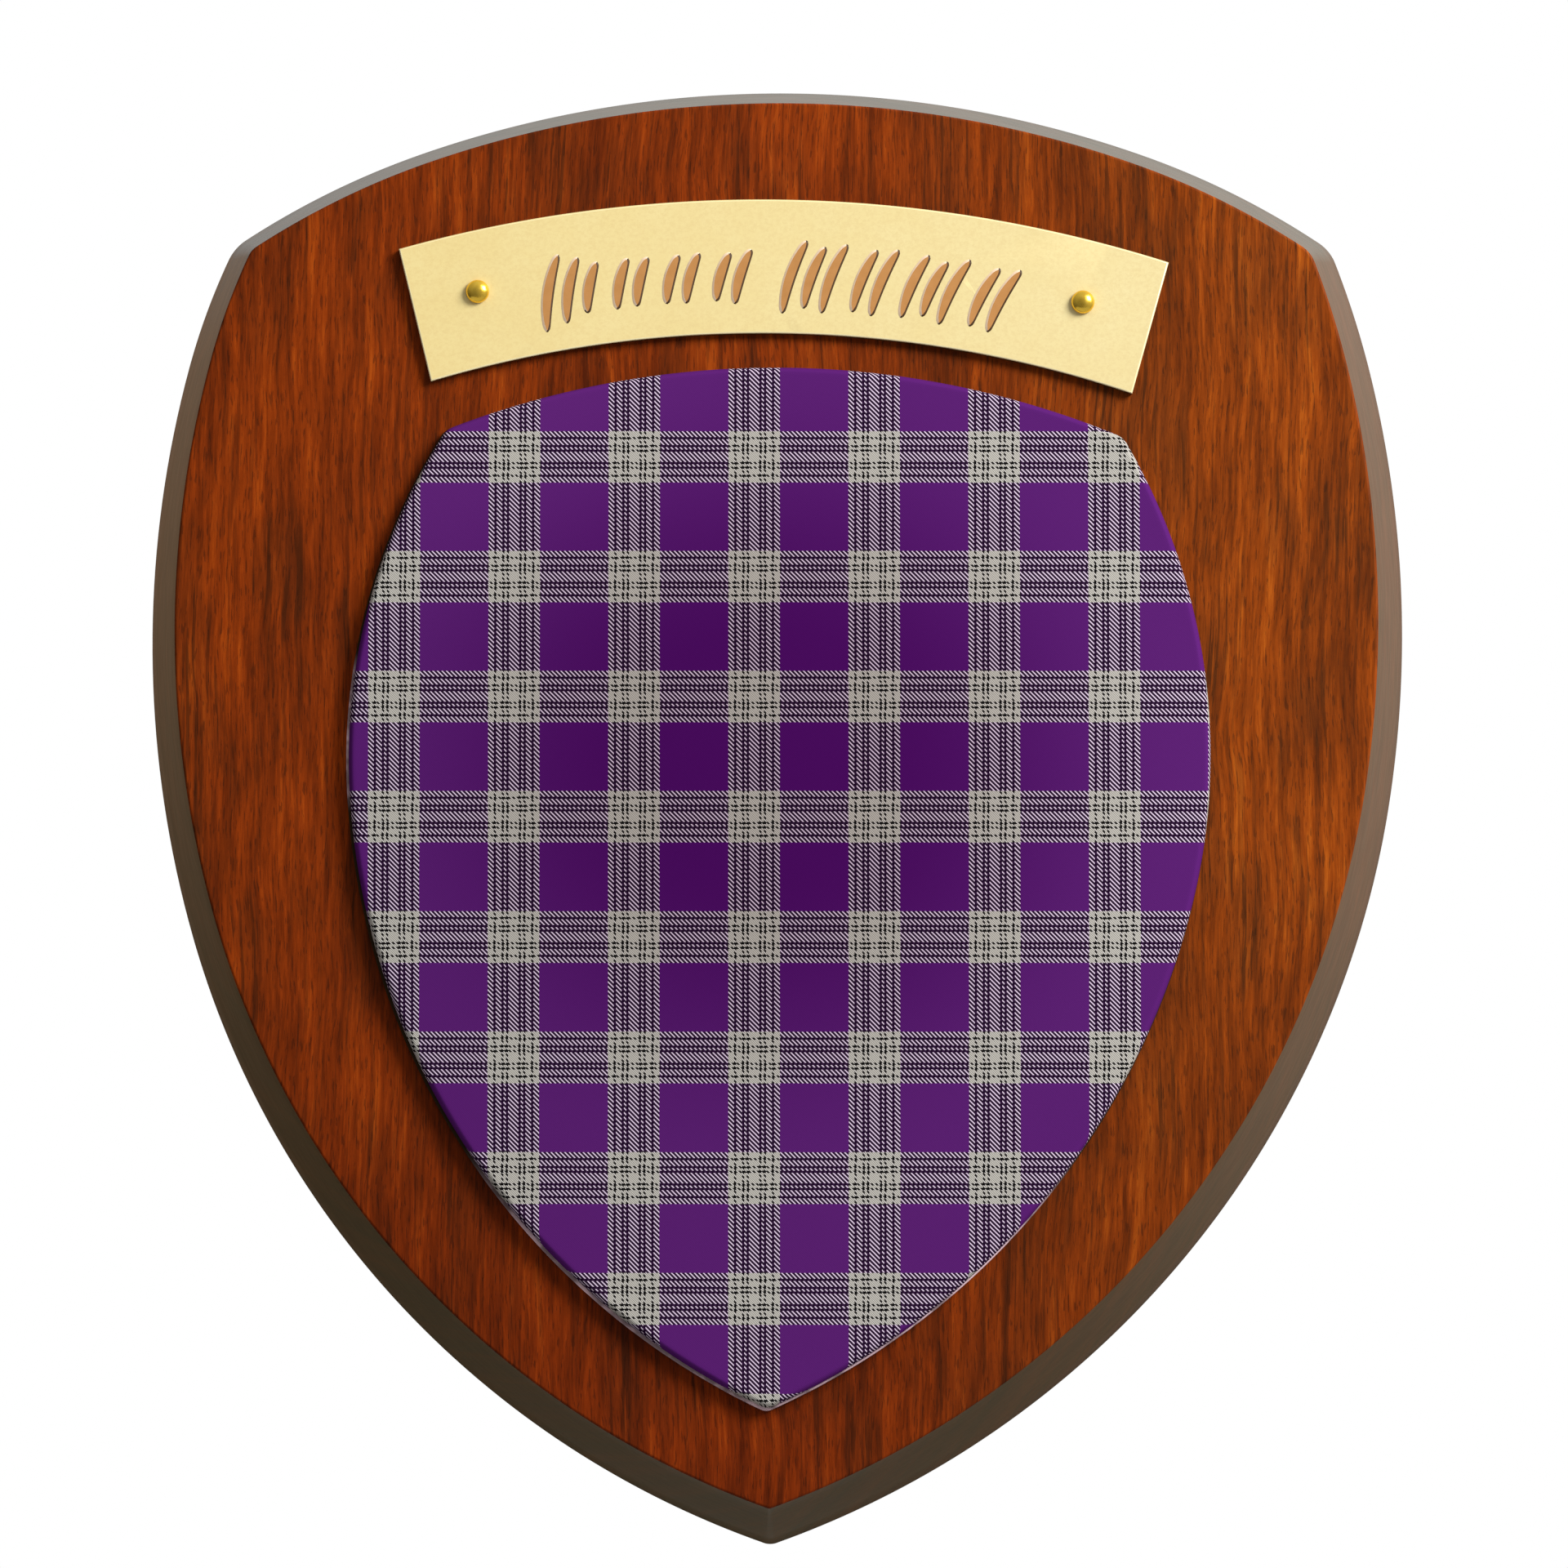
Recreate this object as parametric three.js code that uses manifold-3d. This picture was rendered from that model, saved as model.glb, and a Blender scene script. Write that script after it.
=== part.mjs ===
// Shield wall plaque: a bevelled wooden shield board, a tartan-covered shield
// panel on its backing card, and an arched brass nameplate held by two pins.
//
// Millimetres. +Z up, the plaque faces -Y and its flat back is the plane y = 0.
// The origin is on the back face, on the centre line, at half height.

import * as THREE from 'three';
import { mergeVertices } from 'three/addons/utils/BufferGeometryUtils.js';
import Module from 'manifold-3d';

// ---------------------------------------------------------------- dimensions

// Both outlines are heater shields made of arcs, and both are hand-cut, so the
// left and the right side have slightly different radii.
// board, at its widest just in front of the back face (7 x 6 in)
const BOARD = {
  width: 152.4,
  height: 177.8,
  widest: 21.95,                // height of the widest points above the origin
  topR: 131.9, topX: 1.05,      // arched top: radius, and where its apex is
  tipX: 0.3,                    // where the tip is
  // each side: upper side radius r; the angle below level (turn) where the lower
  // arc takes over; the angle above level (rise) where it tightens to headR; the
  // top tightens to endR this far out (endX); corner radii, back and front
  right: { r: 135.2, turn: 8.5, rise: 14.4, headR: 109.3, endX: 44.4, endR: 97.4, corner: [5.3, 4] },
  left: { r: 131.7, turn: 16.5, rise: 14.2, headR: 82, endX: 44.2, endR: 98.9, corner: [6, 2.7] },
};
const BOARD_T = 15;             // thickness
const BEVEL_RUN = 3.38;         // how far the bevel leans in, back to front
const BEVEL_SHIFT = -0.12;      // it leans in a little more on the right
const BACK_ROUND = 0.35;        // worn edge at the back
const FRONT_ROUND = 0.32;       // worn edge at the front
const BOARD_TIP_R = [2.4, 0.6];

// raised shield panel, in the middle of the board's lower part
const PANEL = {
  width: 104.5,
  height: 126.7,
  widest: 15.95,
  topR: 108.7, topX: 0.1,
  tipX: -0.65,
  right: { r: 76.0, turn: 12.5, rise: 10, headR: 76.0, endX: 30, endR: 108.7, corner: [2.6, 1.45] },
  left: { r: 73.8, turn: 3.6, rise: 10, headR: 73.8, endX: 30, endR: 108.7, corner: [2.6, 1.45] },
};
const PANEL_X = 0.28;
const PANEL_Z = -10.4;          // height of its middle above the origin
const PANEL_TIP_R = 1.7;
const BACKING_T = 0.8;          // pale card under the cloth
const CLOTH_SET = [0.16, 0.16]; // the covered panel sits this far right and up of its card
const CLOTH_IN = 0.16;          // and is this much smaller all round
const CLOTH_EDGE = 1.45;        // height of its rounded edge
const CLOTH_FOOT = 0.3;         // upright part of that edge
const CLOTH_ROUND = 1.15;       // radius of that edge
const CLOTH_CROWN = 2.1;        // rise of the dome above the edge
const GLUE = 0.02;              // glue line between flat pieces

// arched nameplate
const PLATE_T = 1.2;
const PLATE_TOP_R = 162.3;
const PLATE_BOTTOM_R = 140;
const PLATE_MID_H = 16.38;      // height between the arcs on the centre line
const PLATE_TOP_HALF = 46.7;    // half width at the upper corners
const PLATE_BOTTOM_HALF = 42.5; // half width at the lower corners
const PLATE_TOP_Z = 73.56;      // height of its upper arc's apex
const PLATE_X = 0.35;
const PLATE_LEAN = 0.4;         // degrees clockwise, as it was pinned on
const PLATE_EDGE = 0.12;        // small chamfer on the front edge

// pins
const PIN_X = 36.7;
const PIN_SHIFT = -0.35;        // the pair sits a little left on the plate
const PIN_DROP = 11.95;         // centres below the upper arc's apex
const PIN_HEAD_R = 1.42;
const PIN_HEAD_H = 1.15;
const PIN_SHANK_R = 0.6;
const PIN_SHANK_L = 9;
const PIN_HOLE_R = 0.9;
const PIN_HOLE_L = 9;

// strokes on the nameplate, in place of an inscription
const STROKE_H = 0.14;
const STROKE_W = 1.5;
const STROKE_LEAN = 17;         // degrees from upright
const STROKE_ARC_R = 150.0;     // the row follows this arc
const STROKE_MID = 9.45;        // the row's middle, below the upper arc's apex
// one number a stroke: its length; 0 leaves a gap between two clusters
const STROKE_ROW = [9.6, 8.2, 6.4, 0, 6.4, 6.2, 0, 6.2, 6.4, 0, 6.2, 7.0, 0, 0, 0,
  9.4, 8.0, 9.0, 0, 8.2, 8.8, 0, 8.4, 7.4, 8.8, 0, 8.0, 8.6];
const STROKE_PITCH = 2.42;
const STROKE_GAP = 1.28;

const rad = THREE.MathUtils.degToRad;

// ------------------------------------------------------------------ outlines

// A heater shield: an arched top, and on each side an upper arc that runs
// tangent into a lower one; the two lower ones meet at the tip. Each side is
// worked out as if it were the right one; sign turns it into its own.
function shieldArcs(spec) {
  const top = { x: spec.topX, z: spec.height / 2 - spec.topR, r: spec.topR };
  const side = ({ r, turn, rise, headR, endX, endR, corner }, sign) => {
    const upper = { x: spec.width / 2 - r, z: spec.widest, r };
    const a = rad(turn);
    const at = (q) => ({ x: upper.x + (r - q) * Math.cos(a), z: upper.z - (r - q) * Math.sin(a), r: q });
    // the lower radius is the one that brings the side to the tip
    let lo = spec.width * 0.55, hi = r * 1.6;
    for (let i = 0; i < 60; i++) {
      const mid = (lo + hi) / 2, c = at(mid);
      const reach = c.z - Math.sqrt(mid * mid - (c.x - sign * spec.tipX) ** 2);
      if (reach > -spec.height / 2) lo = mid; else hi = mid;
    }
    // the side's first stretch and the top's last one, tangent to their neighbours
    const h = rad(rise), t = Math.acos((endX - sign * spec.topX) / spec.topR);
    const head = { x: upper.x + (r - headR) * Math.cos(h), z: upper.z + (r - headR) * Math.sin(h), r: headR };
    const end = { x: sign * top.x + (spec.topR - endR) * Math.cos(t), z: top.z + (spec.topR - endR) * Math.sin(t), r: endR };
    return { sign, upper, lower: at((lo + hi) / 2), turn: a, head, rise: h, end, join: t, corner };
  };
  return { spec, top, sides: [side(spec.right, 1), side(spec.left, -1)] };
}

// centre of the fillet of radius f inside two arcs; pick chooses between the two
function filletCentre(a, b, f, pick) {
  const ra = a.r - f, rb = b.r - f;
  const dx = b.x - a.x, dz = b.z - a.z, d = Math.hypot(dx, dz);
  const k = (ra * ra - rb * rb + d * d) / (2 * d);
  const q = Math.sqrt(Math.max(ra * ra - k * k, 0));
  const mx = a.x + (dx * k) / d, mz = a.z + (dz * k) / d;
  const p1 = { x: mx + (q * dz) / d, z: mz - (q * dx) / d };
  const p2 = { x: mx - (q * dz) / d, z: mz + (q * dx) / d };
  return pick(p1) > pick(p2) ? p1 : p2;
}

function arc(out, c, r, from, to, n) {
  for (let i = 0; i < n; i++) {
    const t = from + ((to - from) * i) / n;
    out.push(new THREE.Vector2(c.x + r * Math.cos(t), c.z + r * Math.sin(t)));
  }
}

// the outline moved inwards by inset, its shoulders rounded by the corner radii
// at share k from the first to the second; every inset gives the same number of
// points, so that two of them join into a wall
function shieldOutline(arcs, inset, k, tipR, n) {
  const inside = (c) => ({ ...c, r: c.r - inset });
  const across = (c) => ({ ...c, x: -c.x });
  const [right, left] = arcs.sides;
  const tip = filletCentre(inside(right.lower), across(inside(left.lower)), tipR, (p) => -p.z);
  const halves = arcs.sides.map(({ sign, upper, lower, turn, head, rise, end, join, corner }) => {
    const t = inside(sign > 0 ? arcs.top : across(arcs.top));
    const e = inside(end), h = inside(head), u = inside(upper), l = inside(lower);
    const shoulderR = THREE.MathUtils.lerp(corner[0], corner[1], k);
    const foot = sign > 0 ? tip : across(tip);
    const f = filletCentre(e, h, shoulderR, (p) => p.x);
    const topEnd = Math.atan2(f.z - e.z, f.x - e.x);
    const headStart = Math.atan2(f.z - h.z, f.x - h.x);
    const lowerEnd = Math.atan2(foot.z - l.z, foot.x - l.x);
    const half = [];
    arc(half, t, t.r, Math.PI / 2, join, n.top);
    arc(half, e, e.r, join, topEnd, n.end);
    arc(half, f, shoulderR, topEnd, headStart, n.corner);
    arc(half, h, h.r, headStart, rise, n.head);
    arc(half, u, u.r, rise, -turn, n.upper);
    arc(half, l, l.r, -turn, lowerEnd, n.lower);
    arc(half, foot, tipR, lowerEnd, -Math.PI / 2, n.tip);
    half.push(new THREE.Vector2(foot.x, foot.z - tipR));
    return half.map((p) => new THREE.Vector2(sign * p.x, p.y));
  });
  return halves[0].concat(halves[1].slice(1, -1).reverse()).reverse();   // anticlockwise in (x, z)
}

// ------------------------------------------------------------------- solids

// A closed solid from rings of points, back to front: neighbours are joined by
// a wall, the first and the last ring are closed flat.
function ringSolid(rings) {
  const n = rings[0].length;
  const pos = [];
  for (const ring of rings) for (const p of ring) pos.push(p.x, p.y, p.z);
  const idx = [];
  for (let r = 0; r + 1 < rings.length; r++) {
    for (let i = 0; i < n; i++) {
      const j = (i + 1) % n, a = r * n + i, b = r * n + j, c = a + n, d = b + n;
      idx.push(a, b, d, a, d, c);
    }
  }
  const cap = (r, flip) => {
    const flat = rings[r].map((p) => new THREE.Vector2(p.x, p.z));
    for (const [a, b, c] of THREE.ShapeUtils.triangulateShape(flat, [])) {
      const o = r * n;
      if (flip) idx.push(o + a, o + c, o + b); else idx.push(o + a, o + b, o + c);
    }
  };
  cap(0, true);
  cap(rings.length - 1, false);
  const g = new THREE.BufferGeometry();
  g.setAttribute('position', new THREE.Float32BufferAttribute(pos, 3));
  g.setIndex(idx);
  return g;
}

const wasm = await Module();
wasm.setup();

function toSolid(geometry) {
  const g = geometry.clone();
  g.deleteAttribute('normal');
  g.deleteAttribute('uv');
  const m = mergeVertices(g, 1e-5);
  return new wasm.Manifold(new wasm.Mesh({
    numProp: 3,
    vertProperties: new Float32Array(m.attributes.position.array),
    triVerts: new Uint32Array(m.index.array),
  }));
}

function toGeometry(solid) {
  const mesh = solid.getMesh();
  const pos = new Float32Array(mesh.numVert * 3);
  for (let i = 0; i < mesh.numVert; i++) {
    for (let k = 0; k < 3; k++) pos[i * 3 + k] = mesh.vertProperties[i * mesh.numProp + k];
  }
  const g = new THREE.BufferGeometry();
  g.setAttribute('position', new THREE.BufferAttribute(pos, 3));
  g.setIndex(new THREE.BufferAttribute(new Uint32Array(mesh.triVerts), 1));
  return g;
}

// a round bar along Y from y0 (towards the wall) to y1 (towards the front)
function barAlongY(r, y0, y1, x, z, sides = 20) {
  const g = new THREE.CylinderGeometry(r, r, Math.abs(y1 - y0), sides);
  g.translate(x, (y0 + y1) / 2, z);
  return g;
}

const lerp = THREE.MathUtils.lerp;

// board: section of the edge as (inset, y), from the back face to the front
const boardArcs = shieldArcs(BOARD);
function boardGeometry() {
  const n = { top: 16, end: 7, corner: 6, head: 6, upper: 12, lower: 29, tip: 4 };
  const section = [];
  for (let i = 0; i <= 3; i++) {
    const t = (i / 3) * (Math.PI / 2);
    section.push([BACK_ROUND * (1 - Math.sin(t)), -BACK_ROUND * (1 - Math.cos(t))]);
  }
  // rounding at the front, tangent to the bevel's slope and to the flat face
  const lean = Math.atan2(BEVEL_RUN, BOARD_T);
  const centre = (BOARD_T - FRONT_ROUND) * Math.tan(lean) + FRONT_ROUND / Math.cos(lean);
  for (let i = 0; i <= 3; i++) {
    const t = lerp(lean, Math.PI / 2, i / 3);
    section.push([centre - FRONT_ROUND * Math.cos(t), -(BOARD_T - FRONT_ROUND) - FRONT_ROUND * Math.sin(t)]);
  }
  const rings = section.map(([inset, y]) => {
    const s = inset / BEVEL_RUN;
    return shieldOutline(boardArcs, inset, Math.min(s, 1),
      lerp(BOARD_TIP_R[0], BOARD_TIP_R[1], Math.min(s, 1)), n)
      .map((p) => new THREE.Vector3(p.x + (BEVEL_SHIFT * y) / -BOARD_T, y, p.y));
  });
  return ringSolid(rings);
}

// panel
const panelArcs = shieldArcs(PANEL);

function backingGeometry() {
  const n = { top: 16, end: 4, corner: 5, head: 5, upper: 9, lower: 26, tip: 4 };
  const rings = [[0, 0], [0, BACKING_T - 0.12], [0.1, BACKING_T]].map(([inset, y]) =>
    shieldOutline(panelArcs, inset, inset / CLOTH_ROUND, PANEL_TIP_R - inset, n)
      .map((p) => new THREE.Vector3(p.x + PANEL_X, -(BOARD_T + GLUE + y), p.y + PANEL_Z)));
  return ringSolid(rings);
}

// how far a side of the panel is from the centre line at a height
function reach({ upper, lower, turn }, z) {
  const c = z > upper.z - upper.r * Math.sin(turn) ? upper : lower;
  return c.x + Math.sqrt(Math.max(c.r ** 2 - (z - c.z) ** 2, 0));
}
// the dome over the panel: 0 at its edge, about 1 at its highest
function dome(a, x, z) {
  const [right, left] = a.sides;
  const across = Math.max(reach(right, z) - x, 0) * Math.max(reach(left, z) + x, 0);
  const head = Math.max(a.top.z + Math.sqrt(a.top.r ** 2 - (x - a.top.x) ** 2) - z, 0);
  const foot = Math.max(z + a.spec.height / 2, 0);
  return (4 * across / a.spec.width ** 2) * ((4 * head * foot) / a.spec.height ** 2) ** 0.8;
}

function clothGeometry() {
  const n = { top: 16, end: 4, corner: 4, head: 4, upper: 9, lower: 24, tip: 4 };
  const steps = [];
  steps.push([0, 0], [0, CLOTH_FOOT]);
  for (let i = 1; i <= 4; i++) {
    const t = (i / 4) * (Math.PI / 2);
    steps.push([CLOTH_ROUND * (1 - Math.cos(t)), CLOTH_FOOT + (CLOTH_EDGE - CLOTH_FOOT) * Math.sin(t)]);
  }
  const y0 = BOARD_T + GLUE + BACKING_T + GLUE;
  const place = (p, h, lift) => new THREE.Vector3(
    p.x + PANEL_X + CLOTH_SET[0],
    -(y0 + h + lift * CLOTH_CROWN * dome(panelArcs, p.x, p.y)),
    p.y + PANEL_Z + CLOTH_SET[1]);
  const edge = steps.map(([inset]) => shieldOutline(panelArcs, inset + CLOTH_IN,
    (inset * 0.75) / CLOTH_ROUND, PANEL_TIP_R - inset * 0.75, n));
  const rings = edge.map((ring, i) => ring.map((p) => place(p, steps[i][1], steps[i][0] / CLOTH_ROUND)));
  // over the dome the rings close in on its middle
  const last = edge[edge.length - 1], middle = new THREE.Vector2(0, PANEL.widest / 3);
  for (const t of [0.1, 0.24, 0.42, 0.62, 0.82]) {
    rings.push(last.map((p) => place(p.clone().lerp(middle, t), CLOTH_EDGE, 1)));
  }
  return ringSolid(rings);
}

// nameplate, in its own axes: x along, z up, 0 at the upper arc's apex
function plateOutline(inset) {
  const topR = PLATE_TOP_R - inset, botR = PLATE_BOTTOM_R + inset;
  const topC = -PLATE_TOP_R, botC = -PLATE_MID_H - PLATE_BOTTOM_R;
  const onTop = (x) => topC + Math.sqrt(topR * topR - x * x);
  const onBottom = (x) => botC + Math.sqrt(botR * botR - x * x);
  // the straight end, moved in by the inset
  const zt = -PLATE_TOP_R + Math.sqrt(PLATE_TOP_R ** 2 - PLATE_TOP_HALF ** 2);
  const zb = botC + Math.sqrt(PLATE_BOTTOM_R ** 2 - PLATE_BOTTOM_HALF ** 2);
  const dx = PLATE_TOP_HALF - PLATE_BOTTOM_HALF, dz = zt - zb, len = Math.hypot(dx, dz);
  const endX = (z) => PLATE_BOTTOM_HALF + ((z - zb) * dx) / dz - (inset * len) / dz;
  let xt = PLATE_TOP_HALF, xb = PLATE_BOTTOM_HALF;
  for (let i = 0; i < 30; i++) { xt = endX(onTop(xt)); xb = endX(onBottom(xb)); }
  const pts = [], steps = 30;
  for (let i = 0; i <= steps; i++) { const x = lerp(-xb, xb, i / steps); pts.push(new THREE.Vector2(x, onBottom(x))); }
  for (let i = 0; i <= steps; i++) { const x = lerp(xt, -xt, i / steps); pts.push(new THREE.Vector2(x, onTop(x))); }
  return pts;
}

// one stroke: a slim leaf with a blunt head and a pointed foot, slightly bowed
function strokeShape(length) {
  const half = length / 2, side = 7, left = [], right = [];
  for (let i = 0; i <= side; i++) {
    const t = i / side, z = lerp(-half, half, t);
    const fat = Math.sin(Math.PI * Math.min(0.06 + t * 0.86, 1)) ** 0.45;
    const bow = 0.055 * length * (1 - (2 * t - 1) ** 2);
    left.push(new THREE.Vector2(-bow - (STROKE_W / 2) * fat, z));
    right.push(new THREE.Vector2(-bow + (STROKE_W / 2) * fat, z));
  }
  return new THREE.Shape(left.reverse().concat(right));
}

// where each stroke stands: along the arc, all leaning the same way
function strokePlaces() {
  let run = 0;
  const found = [];
  for (const length of STROKE_ROW) {
    if (length === 0) { run += STROKE_GAP; continue; }
    found.push({ length, at: run });
    run += STROKE_PITCH;
  }
  const mid = (found[0].at + found[found.length - 1].at) / 2;
  return found.map(({ length, at }) => {
    const a = (at - mid) / STROKE_ARC_R;
    return { length, x: STROKE_ARC_R * Math.sin(a) - 0.6, z: -STROKE_MID - STROKE_ARC_R * (1 - Math.cos(a)), turn: a };
  });
}

function plateGeometry() {
  const c = PLATE_EDGE;
  const rings = [[c * 0.5, 0], [0, c * 0.5], [0, PLATE_T - c], [c, PLATE_T]].map(([inset, h]) =>
    plateOutline(inset).map((p) => new THREE.Vector3(p.x, -h, p.y)));
  let solid = toSolid(ringSolid(rings));
  for (const s of strokePlaces()) {
    const g = new THREE.ExtrudeGeometry(strokeShape(s.length), { depth: STROKE_H + 0.1, bevelEnabled: false, steps: 1 });
    g.rotateX(Math.PI / 2);                        // shape's (x, y) to (x, z), depth to -Y
    g.rotateY(rad(STROKE_LEAN) + s.turn);          // leans to the right, and turns with the arc
    g.translate(s.x, -(PLATE_T - 0.1), s.z);
    solid = solid.add(toSolid(g));
  }
  for (const side of [-1, 1]) {
    solid = solid.subtract(toSolid(barAlongY(PIN_HOLE_R, 1, -PLATE_T - 1, side * PIN_X + PIN_SHIFT, -PIN_DROP)));
  }
  return toGeometry(solid);
}

// a pin: domed head and shank on one axis, head towards the front
function pinGeometry() {
  const pts = [new THREE.Vector2(0, -PIN_SHANK_L)];
  pts.push(new THREE.Vector2(PIN_SHANK_R * 0.35, -PIN_SHANK_L));
  pts.push(new THREE.Vector2(PIN_SHANK_R, -PIN_SHANK_L + 1.2));
  pts.push(new THREE.Vector2(PIN_SHANK_R, 0.02));
  pts.push(new THREE.Vector2(PIN_HEAD_R - 0.06, 0.02));
  pts.push(new THREE.Vector2(PIN_HEAD_R, 0.1));
  const rise = PIN_HEAD_H - 0.14;
  for (let i = 0; i <= 6; i++) {
    const t = (i / 6) * (Math.PI / 2);
    pts.push(new THREE.Vector2(i === 6 ? 0 : PIN_HEAD_R * Math.cos(t), 0.14 + rise * Math.sin(t)));
  }
  const g = new THREE.LatheGeometry(pts, 24);
  g.rotateX(Math.PI);           // the head faces -Y
  return g;
}

// --------------------------------------------------------------------- build

const looks = {
  wood: new THREE.MeshStandardMaterial({ name: 'wood', color: 0x7a3412, roughness: 0.4, metalness: 0 }),
  card: new THREE.MeshStandardMaterial({ name: 'card', color: 0xb9998a, roughness: 0.8, metalness: 0 }),
  tartan: new THREE.MeshStandardMaterial({ name: 'tartan', color: 0x5d2178, roughness: 0.85, metalness: 0 }),
  brass: new THREE.MeshStandardMaterial({ name: 'brass', color: 0xe9d68e, roughness: 0.42, metalness: 1 }),
  pin: new THREE.MeshStandardMaterial({ name: 'pin', color: 0xd9a83a, roughness: 0.2, metalness: 1 }),
};

function mesh(name, geometry, material) {
  const m = new THREE.Mesh(geometry, material.clone());
  m.name = name;
  return m;
}

const plaque = new THREE.Group();
plaque.name = 'shield_wall_plaque';

// nameplate group: its own axes, leaned a little clockwise
const lean = rad(PLATE_LEAN);
const plateGroup = new THREE.Group();
plateGroup.position.set(PLATE_X, -(BOARD_T + GLUE), PLATE_TOP_Z);
plateGroup.rotation.y = lean;
plateGroup.add(mesh('nameplate', plateGeometry(), looks.brass));
const pins = [];
for (const [side, name] of [[-1, 'pin_left'], [1, 'pin_right']]) {
  const pin = mesh(name, pinGeometry(), looks.pin);
  pin.position.set(side * PIN_X + PIN_SHIFT, -PLATE_T, -PIN_DROP);
  plateGroup.add(pin);
  pins.push(pin);
}
plaque.add(plateGroup);
plaque.updateMatrixWorld(true);

// board with a blind hole under each pin
let board = toSolid(boardGeometry());
for (const pin of pins) {
  const p = new THREE.Vector3().setFromMatrixPosition(pin.matrixWorld);
  board = board.subtract(toSolid(barAlongY(PIN_HOLE_R, -(BOARD_T - PIN_HOLE_L), -(BOARD_T + 1), p.x, p.z)));
}
plaque.add(mesh('shield_board', toGeometry(board), looks.wood));
plaque.add(mesh('panel_card', backingGeometry(), looks.card));
plaque.add(mesh('tartan_panel', clothGeometry(), looks.tartan));

export default plaque;
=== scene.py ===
import math
import random

import bmesh
import bpy
from mathutils import Matrix, Vector


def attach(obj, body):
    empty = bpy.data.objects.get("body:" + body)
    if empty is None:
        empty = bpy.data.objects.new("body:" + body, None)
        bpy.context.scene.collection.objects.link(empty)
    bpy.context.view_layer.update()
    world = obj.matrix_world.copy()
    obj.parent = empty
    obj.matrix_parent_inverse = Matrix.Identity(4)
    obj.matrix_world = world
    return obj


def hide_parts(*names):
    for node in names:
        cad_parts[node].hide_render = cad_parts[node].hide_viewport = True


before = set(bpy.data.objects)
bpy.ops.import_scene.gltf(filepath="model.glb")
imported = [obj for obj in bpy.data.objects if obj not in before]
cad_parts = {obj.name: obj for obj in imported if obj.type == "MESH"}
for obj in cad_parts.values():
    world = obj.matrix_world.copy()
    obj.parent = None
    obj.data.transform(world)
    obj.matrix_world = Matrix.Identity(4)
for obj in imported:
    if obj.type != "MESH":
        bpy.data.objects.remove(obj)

random.seed(7)
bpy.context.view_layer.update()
scene = bpy.context.scene

# ------------------------------------------------------------------ sizes
# Millimetres in the row's frame: +Z up, the plaque faces -Y, its back is y = 0.

# Each side of a shield: radius, turn, rise, head radius, end x, end radius, corner radii back and front.
BOARD = dict(width=152.4, height=177.8, widest=21.95, topR=131.9, topX=1.05, tipX=0.3,
             right=(135.2, 8.5, 14.4, 109.3, 44.4, 97.4, (5.3, 4.0)), left=(131.7, 16.5, 14.2, 82.0, 44.2, 98.9, (6.0, 2.7)))
BOARD_T, BEVEL_RUN, BEVEL_SHIFT, BACK_ROUND, FRONT_ROUND = 15, 3.38, -0.12, 0.35, 0.32
BOARD_TIP_R = (2.4, 0.6)

PANEL = dict(width=104.5, height=126.7, widest=15.95, topR=108.7, topX=0.1, tipX=-0.65,
             right=(76.0, 12.5, 10, 76.0, 30, 108.7, (2.6, 1.45)), left=(73.8, 3.6, 10, 73.8, 30, 108.7, (2.6, 1.45)))
PANEL_X, PANEL_Z, PANEL_TIP_R = 0.28, -10.4, 1.7
BACKING_T, CLOTH_SET, CLOTH_IN = 0.8, (0.16, 0.16), 0.16
CLOTH_EDGE, CLOTH_FOOT, CLOTH_ROUND, CLOTH_CROWN, GLUE = 1.45, 0.5, 0.66, 2.1, 0.02

PLATE_T, PLATE_TOP_R, PLATE_BOTTOM_R, PLATE_MID_H = 1.2, 162.3, 140, 16.38
PLATE_TOP_HALF, PLATE_BOTTOM_HALF, PLATE_TOP_Z, PLATE_X = 46.7, 42.5, 73.56, 0.35
PLATE_LEAN, PLATE_EDGE = math.radians(0.4), 0.2
PIN_X, PIN_SHIFT, PIN_DROP, PIN_HEAD_R, PIN_HEAD_H = 36.7, -0.35, 11.95, 1.42, 1.15
PIN_SHANK_R, PIN_SHANK_L, PIN_HOLE_R, PIN_HOLE_L = 0.6, 9, 0.9, 9

STROKE_H, STROKE_W, STROKE_LEAN, STROKE_ARC_R, STROKE_MID = 0.14, 1.5, math.radians(17), 150.0, 9.45
STROKE_ROW = [9.6, 8.2, 6.4, 0, 6.4, 6.2, 0, 6.2, 6.4, 0, 6.2, 7.0, 0, 0, 0,
              9.4, 8.0, 9.0, 0, 8.2, 8.8, 0, 8.4, 7.4, 8.8, 0, 8.0, 8.6]
STROKE_PITCH, STROKE_GAP, STROKE_WALL = 2.42, 1.28, 0.22

# viewing direction of the photograph: from a little below, long lens
VIEW_UP = math.radians(6.0)
VIEW_ROLL = math.radians(0.6)
VIEW_AIM = Vector((1.0, 0.0, 3.96))
VIEW_DIST = 2000.0
VIEW_LENS = 376.8


def lerp(a, b, t):
    return a + (b - a) * t


def smooth(t):
    t = min(max(t, 0.0), 1.0)
    return t * t * (3 - 2 * t)


# --------------------------------------------------------------- outlines


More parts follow.
